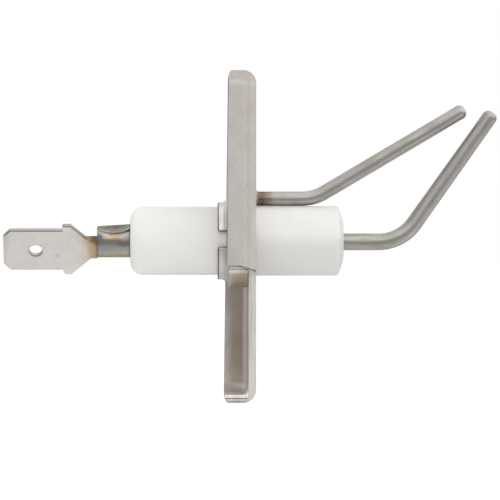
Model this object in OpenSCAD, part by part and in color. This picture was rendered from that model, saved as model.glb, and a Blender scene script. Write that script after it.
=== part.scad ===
// Ignition electrode for a boiler burner.
// A ceramic insulator is crimped in a collar on a pressed steel bracket. A spark rod runs
// through the insulator from a tab terminal, and an earth rod is welded to the bracket.
// X runs along the insulator towards the burner, Z is up, and the origin is where the
// insulator's axis meets the bracket's front face.

/* [Bracket] */
// Height of the bracket above the insulator's axis
plate_up = 22.87; // [21:0.01:30]
// Height of the bracket below the insulator's axis
plate_down = 21.63; // [20:0.01:30]
// Width of the bracket
plate_w = 17.0; // [16.5:0.1:24]
// Thickness of the sheet steel
sheet_t = 1.0; // [0.8:0.05:1.2]
// Depth of the rim at the bracket's lower end
rim_depth = 4.25; // [4:0.05:6]
// How much shallower the rim is at the upper end
rim_taper = 0.6; // [0:0.1:1]
// Outside radius of the bend between face and rim
bend_r = 1.75; // [1.4:0.05:2]
// Radius of the bracket's four corners
corner_r = 2.2; // [2.1:0.1:5]
// Rounding of the rim's free edge at both ends
rim_end_r = 0.7; // [0.3:0.1:0.9]
// Depth of the notch that is sheared off the near side
notch_depth = 1.75; // [1.3:0.05:2]
// Level of the notch's upper edge, below the axis
notch_level = 3.5; // [2:0.1:10]
// Radius in the notch's inner corner
notch_r = 1.0; // [0.5:0.1:1.2]
// Length of the sloping stretch of the notch's upper edge, back from the bracket's face
notch_slope_run = 2.15; // [1.8:0.05:3]
// How far that stretch drops towards the face
notch_slope_drop = 0.65; // [0.2:0.05:1]
// Rounding of the near rim's corner at the notch
rim_corner_r = 0.5; // [0.2:0.1:0.8]
// Diameter of the two fixing holes
fixing_d = 4.5; // [3.2:0.1:5.5]
// Distance between the two fixing holes
fixing_pitch = 30.0; // [26:0.5:34]

/* [Crimp collar] */
// Outside diameter of the collar's cup
collar_d = 12.56; // [12:0.02:13]
// Length of the cup behind the sheet
collar_len = 2.73; // [2.4:0.01:4]
// Thickness of the collar's front lip
lip_t = 0.6; // [0.4:0.1:1]
// Rounding of the cup's outer rear edge
collar_edge_r = 0.3; // [0.1:0.1:0.5]
// Number of crimping tabs
tab_count = 4; // [3:1:6]
// Width of the slot between two tabs, as an angle
slot_angle = 24; // [10:1:40]
// Turn of the first slot from the bracket's near side
slot_turn = -2.5; // [-20:0.5:20]
// Length of the tabs behind the cup
tab_len = 1.4; // [1:0.1:2]
// Thickness of the tabs
tab_t = 0.6; // [0.4:0.1:0.8]
// Rounding of the tabs' outer end
tab_edge_r = 0.25; // [0.1:0.05:0.35]
// Thickness of the soft seat ring under the insulator's flange
seat_t = 0.4; // [0.2:0.1:0.6]

/* [Insulator] */
// Distance of the insulator's rear end from the bracket's front face
insulator_rear = 16.9; // [12:0.1:30]
// Distance of the insulator's front end from the bracket's front face
insulator_front = 11.85; // [8:0.05:14]
// Diameter of the rear part
rear_d = 9.24; // [8.8:0.02:9.6]
// Diameter of the front part
front_d = 9.4; // [9:0.1:9.4]
// Diameter of the flange in the collar
flange_d = 10.5; // [10.2:0.1:10.8]
// Diameter of the bore for the spark rod
bore_d = 2.7; // [2.6:0.05:3]
// Diameter of the cement pockets
pocket_d = 3.6; // [3.2:0.1:4]
// Depth of the cement pockets
pocket_depth = 1.5; // [1:0.1:4]
// Rounding of the rear edge
rear_edge_r = 1.4; // [0.4:0.1:1.5]
// Rounding of the front edge
nose_r = 0.6; // [0.3:0.1:0.9]
// Diameter of the flat on the front end
nose_flat_d = 4.6; // [4.2:0.1:6]
// How far the front end falls back from the flat to its edge
nose_drop = 0.5; // [0.2:0.1:1]

/* [Spark rod] */
// Diameter of the rod in the insulator
spark_root_d = 2.3; // [2.1:0.02:2.32]
// Diameter of the rod at its bend
spark_bend_d = 2.2; // [1.9:0.02:2.3]
// Diameter of the rod at its tip
spark_tip_d = 2.08; // [1.8:0.02:2.2]
// How far the spark rod lies below the insulator's axis
rod_drop = 0.12; // [0:0.01:0.14]
// Distance of the bend from the insulator's front end
spark_lead = 4.8; // [2:0.1:8]
// Radius of the bend along the rod's centre line
spark_bend_r = 5.9; // [4:0.1:8]
// Angle of the bend
spark_angle = 54.6; // [40:0.1:70]
// Length of the straight part after the bend
spark_reach = 18.4; // [10:0.1:24]

/* [Earth rod] */
// Diameter of the rod
earth_d = 1.95; // [1.8:0.05:2.2]
// Distance of the bend from the bracket's front face
earth_lead = 6.25; // [4:0.05:10]
// Radius of the bend along the rod's centre line
earth_bend_r = 6.0; // [4:0.1:8]
// Angle of the bend
earth_angle = 30.6; // [20:0.1:40]
// Length of the straight part after the bend
earth_reach = 22.1; // [10:0.1:26]
// Width of the weld bead round the rod
weld_w = 0.2; // [0.1:0.05:0.7]
// Height of the weld bead on the bracket's face
weld_h = 0.4; // [0.3:0.1:1.2]
// Rounding of both rods' tips
tip_r = 0.8; // [0.2:0.1:0.9]

/* [Tab terminal] */
// Width of the tab
blade_w = 6.3; // [5.8:0.1:6.6]
// Thickness of the tab
blade_t = 0.8; // [0.7:0.05:0.9]
// Length of the tab from its tip to its shoulders
blade_len = 8.0; // [7.5:0.1:9]
// Chamfer at the tab's two corners, along the tab
blade_chamfer = 0.95; // [0.4:0.05:1.4]
// Length of the bevel on the tip
tip_bevel = 0.55; // [0.3:0.05:1]
// Thickness of the tip after the bevel
tip_t = 0.4; // [0.3:0.05:0.5]
// Diameter of the detent hole
detent_d = 1.85; // [1.6:0.05:2]
// Distance of the detent hole from the tip
detent_at = 4.35; // [3.5:0.05:5]
// Width over the shoulders
shoulder_w = 7.8; // [7.2:0.1:9]
// Length of the shoulders
shoulder_len = 1.1; // [0.8:0.1:2]
// Rounding of the lower shoulder's corner
shoulder_r = 0.6; // [0.1:0.1:0.7]
// Length of the upper taper between shoulders and neck
taper_len = 2.0; // [1.5:0.1:3]
// Width of the neck
neck_w = 3.15; // [2.6:0.05:3.4]
// How far the neck lies above the tab's centre line
neck_shift = 0.32; // [0:0.02:0.5]
// Length of the neck
neck_len = 1.5; // [1:0.1:3]
// Inside diameter of the rolled barrel
barrel_bore_d = 2.7; // [2.5:0.05:2.8]
// Wall of the rolled barrel
barrel_t = 0.75; // [0.6:0.05:0.75]
// Length of the rolled barrel
barrel_len = 4.45; // [3:0.05:6]
// How far the lap stands proud of the barrel's rear end
lap_start = 0.04; // [0.02:0.01:0.1]
// How far the lap stands proud of the barrel's front end
lap_rise = 0.34; // [0.15:0.01:0.4]
// Turn of the lap's crown from the top towards the near side
lap_turn = 35; // [20:1:50]
// Level of the lapped edge's lowest point above the axis
lap_level = 1.2; // [0.6:0.05:1.4]
// Bulge of the lapped edge over the barrel's length
lap_bulge = 0.6; // [0.4:0.05:1]
// Turn of the tab about the insulator's axis
blade_turn = 55; // [0:1:90]
// How far the rod stops short of the barrel's end
rod_recess = 0.35; // [0.2:0.05:1]

/* [Clearances] */
// Radial clearance of the insulator in the collar and bracket
ceramic_clear = 0.1; // [0.05:0.01:0.2]
// Clearance of the earth rod over the insulator
earth_clear = 0.03; // [0.02:0.01:0.1]
// Joint gap of cement, braze and weld round the rods
joint_gap = 0.02; // [0.01:0.01:0.04]
// A wire's straight stretch starts this far inside its bend
wire_bite = 0.1; // [0.05:0.05:0.2]
// A wire's straight stretch is drawn down by this much
draw_down = 0.02; // [0.01:0.01:0.03]
// The lap's skin dips this far under the barrel's surface on its far side
lap_dip = 0.1; // [0.05:0.01:0.15]

/* [Hidden] */
$fn = 96;
// Cutters reach this far past what they cut
over = 1;

// Colours of the real materials
steel = [0.66, 0.64, 0.61];
ceramic = [0.93, 0.93, 0.91];
wire = [0.58, 0.57, 0.56];
cement = [0.82, 0.80, 0.75];
plated = [0.75, 0.71, 0.68];
alloy = [0.62, 0.56, 0.45];

plate_h = plate_up + plate_down;
plate_mid = (plate_down - plate_up) / 2;
ceramic_hole_d = front_d + 2 * ceramic_clear;

// Stations along X behind the bracket, all counted from its front face
cup_front = -sheet_t;
cup_rear = cup_front - collar_len;
cup_bore_r = flange_d / 2 + ceramic_clear;
tab_inner_r = rear_d / 2 + ceramic_clear;
// The flange's rear shoulder and the tabs' roots slope at 45 degrees
shoulder_x = cup_rear + cup_bore_r - tab_inner_r;
flange_x = cup_front - lip_t - seat_t;

// The barrel's front end butts against the insulator's rear end
barrel_front = -insulator_rear - joint_gap;
barrel_rear = barrel_front - barrel_len;
barrel_r = barrel_bore_d / 2 + barrel_t;
// The flat tab lies tangent to the middle of the barrel's wall
blade_drop = barrel_bore_d / 2 + barrel_t / 2;
rod_rear = barrel_rear + rod_recess;

// The earth rod lies along the insulator's top
earth_z = front_d / 2 + earth_clear + earth_d / 2;

// Turns a shape drawn along Z so that it runs along X. A shape's own x then runs down.
module along_x() {
    rotate([0, 90, 0]) children();
}

// A ring about the X axis, from its profile in radius and X
module turned(angle = 360) {
    along_x() rotate_extrude(angle = angle) children();
}

// What a rounding takes off the corner at the origin of a shape that lies in -x, -y
module corner_waste(r) {
    translate([-r, -r])
        difference() {
            square(r + over);
            circle(r);
        }
}

// Section of the bracket's rim: bend and wall, with x outwards from the bend's centre
module rim_section() {
    translate([0, -bend_r])
        intersection() {
            difference() {
                circle(bend_r);
                circle(bend_r - sheet_t);
            }
            square(bend_r);
        }
    translate([bend_r - sheet_t, -rim_depth]) square([sheet_t, rim_depth - bend_r]);
}

// One straight side of the rim and the corner that follows it
module rim_side(reach, span) {
    translate([reach - bend_r, span - corner_r, 0])
        rotate([90, 0, 0])
            linear_extrude(2 * (span - corner_r)) rim_section();
    translate([reach - corner_r, span - corner_r, 0])
        rotate_extrude(angle = 90)
            translate([corner_r - bend_r, 0]) rim_section();
}

// The bracket's flat face inside its bends
module face_outline() {
    flat_h = plate_h - 2 * bend_r;
    flat_w = plate_w - 2 * bend_r;
    r = corner_r - bend_r;
    square([flat_h, flat_w - 2 * r], center = true);
    square([flat_h - 2 * r, flat_w], center = true);
    for (x = [-1, 1], y = [-1, 1])
        translate([x * (flat_h / 2 - r), y * (flat_w / 2 - r)]) circle(r);
}

// The pressed pan, face up, with x down the bracket
module pan() {
    translate([plate_mid, 0, 0]) {
        translate([0, 0, -sheet_t]) linear_extrude(sheet_t) face_outline();
        for (side = [0:3]) {
            reach = (side % 2 == 0 ? plate_h : plate_w) / 2;
            span = (side % 2 == 0 ? plate_w : plate_h) / 2;
            rotate([0, 0, 90 * side]) rim_side(reach, span);
        }
    }
}

// Trims the rim's free edge to its slope and rounds it at both ends
module rim_trim() {
    translate([plate_down, 0, -rim_depth])
        rotate([0, atan(rim_taper / plate_h), 0]) {
            translate([-plate_h - over, -plate_w / 2 - over, -over - rim_taper])
                cube([plate_h + 2 * over, plate_w + 2 * over, over + rim_taper]);
            rotate([90, 0, 0])
                linear_extrude(plate_w + 2 * over, center = true) {
                    mirror([0, 1]) corner_waste(rim_end_r);
                    translate([-plate_h, 0]) mirror([1, 0]) mirror([0, 1]) corner_waste(rim_end_r);
                }
        }
}

// The near side is sheared off below the collar
module notch() {
    cut = notch_depth + over;
    difference() {
        translate([notch_level, -plate_w / 2 - over, -rim_depth - over])
            linear_extrude(rim_depth + 2 * over)
                difference() {
                    square([plate_down, cut]);
                    translate([0, cut]) mirror([1, 0]) corner_waste(notch_r);
                }
        // The notch's upper edge drops in two steps of slope over the bend
        translate([notch_level, -plate_w / 2 + notch_depth + over, 0])
            rotate([90, 0, 0])
                linear_extrude(cut + 2 * over)
                    polygon([[-over, -notch_slope_run], [0, -notch_slope_run],
                             [notch_slope_drop / 4, -notch_slope_run / 2],
                             [notch_slope_drop, 0], [notch_slope_drop, 2 * over],
                             [-over, 2 * over]]);
    }
    // Rounded corner that the shear leaves on the near rim
    depth_here = rim_depth - rim_taper * (plate_down - notch_level) / plate_h;
    translate([notch_level, -plate_w / 2 - over, -depth_here])
        rotate([-90, 0, 0])
            linear_extrude(cut) corner_waste(rim_corner_r);
}

module bracket() {
    color(steel)
        along_x()
            difference() {
                pan();
                rim_trim();
                notch();
                translate([0, 0, -sheet_t - over])
                    cylinder(d = ceramic_hole_d, h = sheet_t + 2 * over);
                for (side = [-1, 1])
                    translate([side * fixing_pitch / 2, 0, -sheet_t - over])
                        cylinder(d = fixing_d, h = sheet_t + 2 * over);
            }
}

// Section of the cup: front lip and wall
module cup_section() {
    difference() {
        translate([ceramic_hole_d / 2, cup_rear])
            square([(collar_d - ceramic_hole_d) / 2, collar_len]);
        translate([0, cup_rear - over]) square([cup_bore_r, collar_len - lip_t + over]);
        translate([collar_d / 2, cup_rear]) mirror([0, 1]) corner_waste(collar_edge_r);
    }
}

// Section of a tab, bent in over the insulator's shoulder
module tab_section() {
    end = cup_rear - tab_len;
    outer_r = tab_inner_r + tab_t;
    root_r = cup_bore_r + tab_t;
    difference() {
        polygon([[tab_inner_r, end], [outer_r, end], [outer_r, cup_rear - root_r + outer_r],
                 [root_r, cup_rear], [cup_bore_r, cup_rear], [cup_bore_r, shoulder_x],
                 [tab_inner_r, cup_rear]]);
        translate([outer_r, end]) mirror([0, 1]) corner_waste(tab_edge_r);
    }
}

module crimp_collar() {
    tab_angle = 360 / tab_count - slot_angle;
    color(steel) {
        turned() cup_section();
        for (i = [0:tab_count - 1])
            rotate([slot_turn + (i + 0.5) * 360 / tab_count, 0, 0])
                rotate([90 - tab_angle / 2, 0, 0])
                    turned(tab_angle) tab_section();
    }
}

module seat_ring() {
    color(alloy)
        turned()
            translate([ceramic_hole_d / 2, flange_x])
                square([cup_bore_r - joint_gap - ceramic_hole_d / 2, seat_t]);
}

// Half section of the insulator
module insulator_section() {
    front_r = front_d / 2;
    nose_x = insulator_front - nose_drop;
    difference() {
        union() {
            polygon([[bore_d / 2, -insulator_rear], [rear_d / 2, -insulator_rear],
                     [rear_d / 2, cup_rear], [flange_d / 2, shoulder_x],
                     [flange_d / 2, flange_x], [front_r, flange_x],
                     [front_r, nose_x - nose_r], [front_r - nose_r, nose_x - nose_r],
                     [front_r - nose_r, nose_x], [nose_flat_d / 2, insulator_front],
                     [bore_d / 2, insulator_front]]);
            translate([front_r - nose_r, nose_x - nose_r]) circle(nose_r);
        }
        translate([rear_d / 2, -insulator_rear]) mirror([0, 1]) corner_waste(rear_edge_r);
        translate([0, insulator_front - pocket_depth])
            square([pocket_d / 2, pocket_depth + over]);
        translate([0, -insulator_rear - over]) square([pocket_d / 2, pocket_depth + over]);
    }
}

module insulator() {
    color(ceramic) turned() insulator_section();
}

// A straight stretch of wire along X with a rounded tip
module tipped_wire(length, root_d, tip_d) {
    turned()
        difference() {
            polygon([[0, 0], [root_d / 2, 0], [tip_d / 2, length], [0, length]]);
            translate([tip_d / 2, length]) corner_waste(tip_r);
        }
}

// A wire along X that bends up, with its bend starting at x = 0
module bent_wire(bend_radius, angle, reach, bend_d, tip_d) {
    translate([0, 0, bend_radius])
        rotate([90, 0, 0])
            rotate([0, 0, -90])
                rotate_extrude(angle = angle)
                    translate([bend_radius, 0]) circle(d = bend_d);
    translate([0, 0, bend_radius])
        rotate([0, -angle, 0])
            translate([-wire_bite, 0, -bend_radius])
                tipped_wire(reach + wire_bite, bend_d - draw_down, tip_d - draw_down);
}

module spark_rod() {
    bend_x = insulator_front + spark_lead;
    color(wire)
        translate([0, 0, -rod_drop]) {
            translate([rod_rear, 0, 0])
                along_x() cylinder(d = spark_root_d, h = insulator_front - rod_rear);
            translate([insulator_front, 0, 0])
                along_x() cylinder(d1 = spark_root_d, d2 = spark_bend_d, h = spark_lead);
            translate([bend_x, 0, 0])
                bent_wire(spark_bend_r, spark_angle, spark_reach, spark_bend_d, spark_tip_d);
        }
}

// Cement that fills one pocket round the spark rod
module cement_plug() {
    difference() {
        along_x() cylinder(d = pocket_d - 2 * joint_gap, h = pocket_depth);
        translate([-over, 0, -rod_drop])
            along_x() cylinder(d = spark_root_d + 2 * joint_gap, h = pocket_depth + 2 * over);
    }
}

module front_cement() {
    color(cement) translate([insulator_front - pocket_depth, 0, 0]) cement_plug();
}

module rear_cement() {
    color(cement) translate([-insulator_rear, 0, 0]) cement_plug();
}

module earth_rod() {
    color(wire)
        translate([0, 0, earth_z]) {
            along_x() cylinder(d = earth_d, h = earth_lead);
            translate([earth_lead, 0, 0])
                bent_wire(earth_bend_r, earth_angle, earth_reach, earth_d, earth_d);
        }
}

// Fillet of weld round the earth rod's foot, clear of the insulator
module earth_weld() {
    foot_r = earth_d / 2 + joint_gap;
    color(alloy)
        difference() {
            translate([0, 0, earth_z])
                turned()
                    polygon([[foot_r, 0], [foot_r + weld_w, 0], [foot_r, weld_h]]);
            translate([-over, 0, 0])
                along_x() cylinder(d = ceramic_hole_d, h = weld_h + 2 * over);
        }
}

// Outline of the tab, its shoulders, tapers and neck, with x towards the barrel and y down
module blade_outline() {
    shoulder_at = blade_len;
    taper_at = shoulder_at + shoulder_len;
    end = taper_at + taper_len + neck_len;
    half = blade_w / 2;
    wide = shoulder_w / 2;
    neck_top = neck_w / 2 + neck_shift;
    neck_low = neck_w / 2 - neck_shift;
    // Both tapers have the same slope
    low_taper_len = taper_len * (wide - neck_low) / (wide - neck_top);
    difference() {
        polygon([[0, blade_chamfer - half], [blade_chamfer, -half], [shoulder_at, -half],
                 [shoulder_at, -wide], [taper_at, -wide], [taper_at + taper_len, -neck_top],
                 [end, -neck_top], [end, neck_low], [taper_at + low_taper_len, neck_low],
                 [taper_at, wide], [shoulder_at, wide], [shoulder_at, half],
                 [blade_chamfer, half], [0, half - blade_chamfer]]);
        translate([detent_at, 0]) circle(d = detent_d);
        translate([shoulder_at, wide]) mirror([1, 0]) corner_waste(shoulder_r);
    }
}

// Side view of the tab, with the bevel on its tip
module blade_side() {
    length = blade_len + shoulder_len + taper_len + neck_len;
    polygon([[0, -tip_t / 2], [tip_bevel, -blade_t / 2], [length, -blade_t / 2],
             [length, blade_t / 2], [tip_bevel, blade_t / 2], [0, tip_t / 2]]);
}

module blade() {
    intersection() {
        linear_extrude(blade_t, center = true) blade_outline();
        rotate([90, 0, 0])
            linear_extrude(shoulder_w + 2 * over, center = true) blade_side();
    }
}

// What the lap covers: all of the far side, and the near side down to a curved edge
module lap_reach() {
    chord = barrel_len / 2;
    bulge_r = (chord * chord + lap_bulge * lap_bulge) / (2 * lap_bulge);
    intersection() {
        translate([0, -2 * barrel_r, -2 * barrel_r])
            cube([barrel_len, 4 * barrel_r, 4 * barrel_r]);
        union() {
            translate([chord, 0, lap_level + bulge_r])
                rotate([90, 0, 0]) cylinder(r = bulge_r, h = 3 * barrel_r);
            translate([-over, 0, -3 * barrel_r])
                cube([barrel_len + 2 * over, 3 * barrel_r, 6 * barrel_r]);
        }
    }
}

// The lap's outer skin: a cone that leaves the barrel at its rear end and rises to its front
module lap_skin() {
    slope = (lap_rise - lap_start) / 2 / barrel_len;
    rear_r = barrel_r + (lap_start - lap_dip) / 2;
    rotate([lap_turn, 0, 0])
        translate([0, 0, (lap_start + lap_dip) / 2])
            rotate([0, -atan(slope), 0])
                translate([-over, 0, 0])
                    along_x()
                        cylinder(r1 = rear_r - slope * over,
                                 r2 = rear_r + slope * (barrel_len + over),
                                 h = barrel_len + 2 * over);
}

// The rolled barrel, with one edge lapped over the top
module barrel() {
    difference() {
        union() {
            along_x() cylinder(r = barrel_r, h = barrel_len);
            intersection() {
                lap_skin();
                lap_reach();
            }
        }
        translate([-over, 0, 0])
            along_x() cylinder(d = barrel_bore_d, h = barrel_len + 2 * over);
    }
}

module tab_terminal() {
    flat_len = blade_len + shoulder_len + taper_len + neck_len;
    color(plated)
        translate([barrel_rear, 0, -rod_drop]) {
            barrel();
            rotate([-blade_turn, 0, 0])
                translate([-flat_len, 0, -blade_drop]) blade();
        }
}

// Brazing alloy between the rod and the barrel
module terminal_braze() {
    color(alloy)
        translate([0, 0, -rod_drop])
            turned()
                translate([spark_root_d / 2 + joint_gap, rod_rear])
                    square([(barrel_bore_d - spark_root_d) / 2 - 2 * joint_gap,
                            barrel_len - rod_recess]);
}

bracket();
crimp_collar();
seat_ring();
insulator();
spark_rod();
front_cement();
rear_cement();
earth_rod();
earth_weld();
tab_terminal();
terminal_braze();
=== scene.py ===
import math

import bmesh
import bpy
from bpy.props import FloatProperty, FloatVectorProperty, IntProperty, PointerProperty
from mathutils import Matrix, Vector, noise


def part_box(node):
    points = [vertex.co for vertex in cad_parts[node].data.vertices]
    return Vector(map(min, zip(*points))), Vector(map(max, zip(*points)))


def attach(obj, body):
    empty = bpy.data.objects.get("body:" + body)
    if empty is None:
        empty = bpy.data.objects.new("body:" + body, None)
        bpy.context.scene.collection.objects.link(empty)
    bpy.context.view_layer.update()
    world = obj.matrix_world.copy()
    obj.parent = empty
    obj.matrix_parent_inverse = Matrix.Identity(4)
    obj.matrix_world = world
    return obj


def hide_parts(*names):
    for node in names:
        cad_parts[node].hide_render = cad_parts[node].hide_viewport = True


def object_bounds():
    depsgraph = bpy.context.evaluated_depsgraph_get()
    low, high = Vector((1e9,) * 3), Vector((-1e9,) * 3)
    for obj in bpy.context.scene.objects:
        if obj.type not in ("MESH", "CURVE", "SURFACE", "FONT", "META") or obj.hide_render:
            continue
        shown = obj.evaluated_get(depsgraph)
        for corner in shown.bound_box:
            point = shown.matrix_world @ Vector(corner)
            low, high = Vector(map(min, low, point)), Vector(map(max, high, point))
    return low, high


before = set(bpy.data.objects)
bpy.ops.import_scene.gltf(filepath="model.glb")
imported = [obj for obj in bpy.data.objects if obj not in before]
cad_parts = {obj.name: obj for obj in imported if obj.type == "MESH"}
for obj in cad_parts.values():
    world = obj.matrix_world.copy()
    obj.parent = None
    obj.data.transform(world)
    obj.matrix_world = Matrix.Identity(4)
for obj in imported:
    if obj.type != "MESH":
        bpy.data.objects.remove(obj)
CAD_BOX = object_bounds()

bl_info = {
    "name": "Ignition electrode",
    "version": (1, 0, 0),
    "blender": (4, 5, 0),
    "location": "View3D > Sidebar > Electrode",
    "description": "Finishes the bracket, collar, insulator, rods and terminal of an electrode",
    "category": "Object",
}

MM = 0.001

# Merging of a frame node's loose triangles into its flat faces
MERGE_DISTANCE = 1e-7
MERGE_ANGLE = math.radians(0.2)
# Corners this near to a plane lie in it
IN_PLANE = 0.01 * MM
# A face above this area, in square metres, is shaded flat
LEAST_FLAT_AREA = 1e-6
# Cosines: a face within the first of a flat one is shaded on from it, and a terminal face that
# lies within the second of the tab's plane isn't part of its sheared rim
SHADED_ON = 0.9
TAB_FACE = 0.932
# Gaps that the collar and the weld keep to the insulator, and the weld to its rod
INSULATOR_GAP = 0.1 * MM
ROD_GAP = 0.02 * MM
# The tab's dimple, from the middle of its hole
DIMPLE_FROM_HOLE = Vector((2.95, 0.42, -0.6)) * MM
# The cement's dished face: shares of the way from rod to pocket, and depths in millimetres
CEMENT_DISH = ((0, 0.02), (0.2, 0.1), (0.5, 0.16), (0.8, 0.11), (1, 0.03))
# Size of the cement's lumps
WOBBLE_SIZE = 0.5 * MM
# The weld bead's section: shares of its height and of its width
BEAD_SECTION = ((0, 0), (0, 1), (0.3, 0.86), (0.62, 0.55), (0.88, 0.22), (1, 0))
# How closely the bead's lumps follow each other, and where in the noise they start
BEAD_LUMPS = 2.3
BEAD_START = Vector((3.1, 0, 0))
# Where the camera aims, from the point of the insulator's axis at the middle of the length
AIM_OFFSET = Vector((-0.08, 0.0, -1.23)) * MM
# The lamp's place and width, and half the floor's width, in metres
LAMP_PLACE = Vector((0.05, -0.15, 0.55))
LAMP_WIDTH = 0.5
FLOOR_REACH = 6.0


def srgb(red, green, blue):
    """A colour given as 0 to 255 display values, as the linear values that Blender takes."""
    def linear(value):
        value /= 255
        return value / 12.92 if value <= 0.04045 else ((value + 0.055) / 1.055) ** 2.4
    return tuple(linear(value) for value in (red, green, blue))


def length(name, description, default_mm, low_mm=0.0, high_mm=100.0):
    """A length property, given here in millimetres and kept in metres."""
    return FloatProperty(name=name, description=description, default=default_mm * MM,
                         min=low_mm * MM, max=high_mm * MM, precision=6, unit="LENGTH",
                         subtype="DISTANCE")


def turn(name, description, degrees):
    """An angle property, given here in degrees and kept in radians."""
    return FloatProperty(name=name, description=description, default=math.radians(degrees),
                         subtype="ANGLE", unit="ROTATION")


def share(name, description, default):
    """A plain factor."""
    return FloatProperty(name=name, description=description, default=default, min=0.0, max=1.0,
                         subtype="FACTOR")


def colour(name, description, red, green, blue):
    """A colour property, given here in display values."""
    return FloatVectorProperty(name=name, description=description, default=srgb(red, green, blue),
                               size=3, min=0.0, max=1.0, subtype="COLOR")


# ---------------------------------------------------------------------------------------------
# Settings
# ---------------------------------------------------------------------------------------------

class BracketSettings(bpy.types.PropertyGroup):
    """Sizes and finish of the pressed bracket."""
    edge_round: length("Edge rounding", "Width of the wear on the sheet's cut edges", 0.12, 0, 0.3)
    cut_round: length("Cut rounding", "Rounding of the cut through the face", 0.3, 0, 0.4)
    sheet: length("Sheet", "Thickness of the sheet", 1.0)
    notch_depth: length("Notch depth", "How deep the notch goes in from the near side", 1.75)
    notch_level: length("Notch level", "Depth of the notch's upper edge below the axis", 3.5)
    notch_slope: length("Notch slope", "Length of the sloping end of the notch's upper edge", 2.15)
    notch_drop: length("Notch drop", "Fall of the notch's upper edge towards the face", 0.65)
    rim_depth: length("Rim depth", "Depth of the rim behind the face", 4.25)
    rim_middle: length("Rim depth at the middle", "Depth of the near rim at mid height", 3.96)
    rim_lean: share("Rim lean", "How fast the near rim gets shallower towards the top", 0.0135)
    steel: colour("Steel", "Colour of the bracket's clean steel", 229, 223, 216)
    steel_dull: colour("Dull steel", "Colour of the bracket's duller clouds", 217, 211, 204)
    # Painted shade of the pan's recess, on the far half of its inside
    inside: colour("Inside", "Stain on the far half of the pan's inside", 210, 201, 192)
    shear: colour("Sheared edge", "Colour of the sheet's sheared edges", 128, 119, 111)
    roughness: share("Roughness", "Roughness of the rolled sheet", 0.52)


class CollarSettings(bpy.types.PropertyGroup):
    """Sizes and finish of the crimp collar."""
    tab_count: IntProperty(name="Tabs", description="Number of crimped tabs", default=4, min=3, max=6)
    slot_angle: turn("Slot", "Width of the slot between two tabs", 24)
    slot_turn: turn("Slot turn", "Turn of the first slot from the near side", -2.5)
    tab_thickness: length("Tab thickness", "Thickness of the tabs", 0.6)
    cup_length: length("Cup length", "Length of the cup behind the sheet", 2.73)
    sheet: length("Sheet", "Thickness of the bracket's sheet in front of the cup", 1.0)
    lip: length("Lip", "Thickness of the collar's front lip", 0.6)
    flange_radius: length("Flange radius", "Inside radius of the cup round the flange", 5.35)
    neck_radius: length("Neck radius", "Inside radius of the tabs on the insulator", 4.72)
    edge_round: length("Edge rounding", "Rounding of the collar's edges", 0.2, 0, 0.3)
    steel: colour("Steel", "Colour of the collar's steel", 236, 233, 228)
    steel_dull: colour("Dull steel", "Colour of the collar's duller clouds", 222, 216, 209)
    # Painted shade on the cup below the notch's edge
    painted_shade: colour("Stain", "Brown stain on the cup below the notch's edge", 252, 241, 233)
    shear: colour("Sheared edge", "Colour of the tabs' sheared edges", 140, 132, 125)
    roughness: share("Roughness", "Roughness of the collar", 0.33)


class InsulatorSettings(bpy.types.PropertyGroup):
    """Sizes and finish of the insulator and its cement."""
    rear_radius: length("Rear radius", "Radius of the rear part", 4.62)
    front_radius: length("Front radius", "Radius of the front part", 4.7)
    flange_radius: length("Flange radius", "Radius of the flange in the collar", 5.25)
    flange_front: length("Flange front", "Distance of the flange behind the bracket's face", 2.0)
    flange_rear: length("Flange rear", "Distance of the flange's rear shoulder", 3.11)
    shoulder_end: length("Shoulder end", "Distance where the shoulder meets the rear part", 3.73)
    pocket_radius: length("Pocket radius", "Radius of the cement pockets", 1.8)
    pocket_depth: length("Pocket depth", "Depth of the cement pockets", 1.5)
    bore_radius: length("Bore radius", "Radius of the bore for the rod", 1.35)
    rear_round: length("Rear rounding", "Rounding of the rear edge", 1.75)
    nose_round: length("Nose rounding", "Rounding of the front edge", 0.6)
    nose_flat: length("Nose flat", "Radius of the flat on the front end", 2.3)
    nose_drop: length("Nose drop", "How far the front end falls back to its edge", 0.5)
    ceramic: colour("Ceramic", "Colour of the fired ceramic", 243, 242, 239)
    cement: colour("Cement", "Colour of the cement in the pockets", 206, 200, 188)
    roughness: share("Roughness", "Roughness of the unglazed ceramic", 0.48)


class RodSettings(bpy.types.PropertyGroup):
    """Sizes and finish of the spark rod and the earth rod."""
    spark_root: length("Spark root", "Diameter of the spark rod in the insulator", 2.3)
    spark_tip: length("Spark tip", "Diameter of the spark rod at its tip", 2.06)
    spark_lead: length("Spark lead", "Distance from the insulator to the bend", 4.8)
    spark_bend_radius: length("Spark bend radius", "Radius of the spark rod's bend", 5.9)
    spark_angle: turn("Spark angle", "Angle of the spark rod's bend", 54.6)
    spark_reach: length("Spark reach", "Straight length after the bend", 18.38)
    earth_diameter: length("Earth diameter", "Diameter of the earth rod", 1.95)
    earth_lead: length("Earth lead", "Distance from the bracket to the bend", 6.25)
    earth_bend_radius: length("Earth bend radius", "Radius of the earth rod's bend", 6.0)
    earth_angle: turn("Earth angle", "Angle of the earth rod's bend", 30.6)
    earth_reach: length("Earth reach", "Straight length after the bend", 22.1)
    tip_round: length("Tip rounding", "Rounding of both rods' tips", 0.8)
    bead_width: length("Weld width", "Width of the weld bead round the earth rod", 0.2)
    bead_height: length("Weld height", "Height of the weld bead", 0.4)
    wire: colour("Wire", "Colour of the drawn wire", 192, 189, 184)
    wire_dull: colour("Dull wire", "Colour of the wire's darker drawing lines", 168, 163, 157)
    burn: colour("Burn", "Stain of the burnt stretch beside the weld", 200, 186, 168)
    roughness: share("Roughness", "Roughness of the drawn wire", 0.32)


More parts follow.
